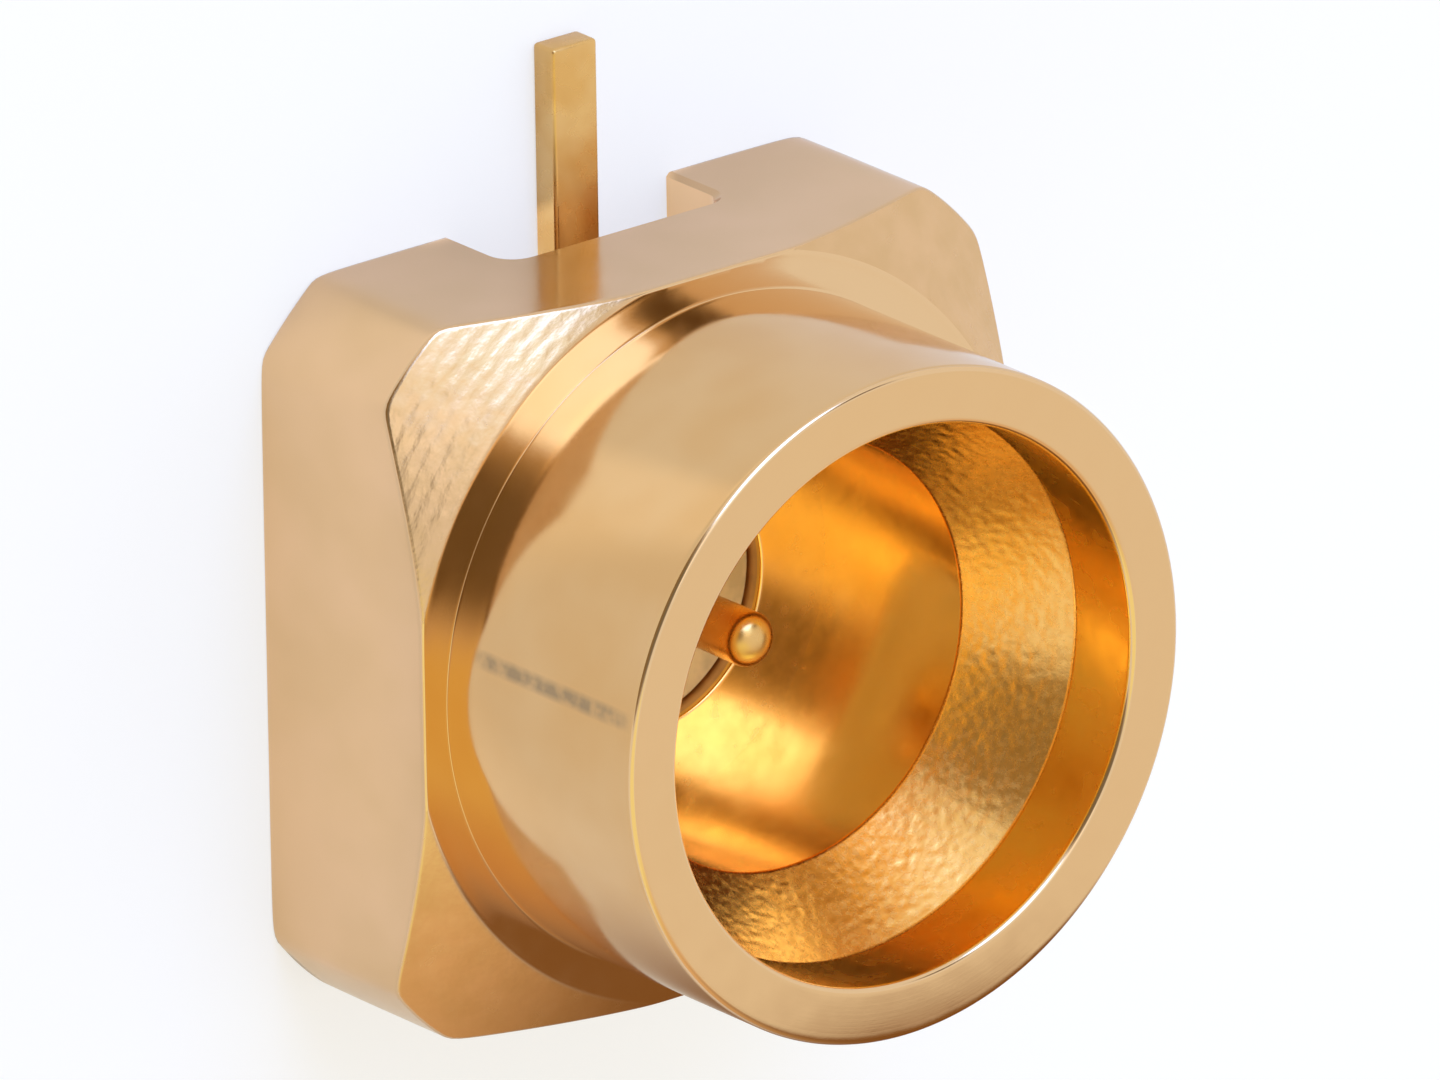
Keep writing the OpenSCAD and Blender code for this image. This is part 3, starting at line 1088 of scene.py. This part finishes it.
def build_camera(stage):
    """The camera at the reference view: long lens, turned about its own axis."""
    bpy.ops.object.select_all(action="DESELECT")
    back = direction(math.degrees(stage.camera_azimuth), math.degrees(stage.camera_elevation))
    bpy.ops.object.camera_add(location=CAMERA_AIM + back * stage.camera_distance)
    camera = bpy.context.object
    camera.name = "camera"
    camera.rotation_mode = "QUATERNION"
    roll = Quaternion((0, 0, 1), stage.camera_roll)
    camera.rotation_quaternion = back.to_track_quat("Z", "Y") @ roll
    camera.data.lens = stage.camera_lens
    camera.data.sensor_width = 36
    camera.data.clip_start = 0.01
    camera.data.clip_end = 10
    bpy.context.scene.camera = camera


class CONNECTOR_OT_stage(bpy.types.Operator):
    """Set up the floor, the studio light and the camera"""

    bl_idname = "connector.stage"
    bl_label = "Stage"

    def execute(self, context):
        stage = context.scene.stage_settings
        context.scene.view_settings.view_transform = "Standard"
        build_world(stage)
        build_floor()
        build_painted_shadow_sheet()
        build_lamp()
        build_camera(stage)
        return {"FINISHED"}


class VIEW3D_PT_connector(bpy.types.Panel):
    """Lists the pieces of the connector in the sidebar"""

    bl_label = "Coaxial connector"
    bl_idname = "VIEW3D_PT_connector"
    bl_space_type = "VIEW_3D"
    bl_region_type = "UI"
    bl_category = "Connector"

    def draw(self, context):
        for operator in OPERATORS:
            self.layout.operator(operator.bl_idname)


OPERATORS = [CONNECTOR_OT_shell, CONNECTOR_OT_bead, CONNECTOR_OT_contact, CONNECTOR_OT_stage]
SETTINGS = {
    "shell_sizes": ShellSizes,
    "contact_sizes": ContactSizes,
    "connector_colours": ConnectorColours,
    "stage_settings": StageSettings,
}


def register():
    for cls in [*SETTINGS.values(), *OPERATORS, VIEW3D_PT_connector]:
        bpy.utils.register_class(cls)
    for name, cls in SETTINGS.items():
        setattr(bpy.types.Scene, name, bpy.props.PointerProperty(type=cls))


def unregister():
    for name in SETTINGS:
        delattr(bpy.types.Scene, name)
    for cls in [VIEW3D_PT_connector, *OPERATORS[::-1], *SETTINGS.values()]:
        bpy.utils.unregister_class(cls)


def main():
    register()
    bpy.ops.connector.shell()
    bpy.ops.connector.bead()
    bpy.ops.connector.contact()
    bpy.ops.connector.stage()


if __name__ == "__main__":
    main()
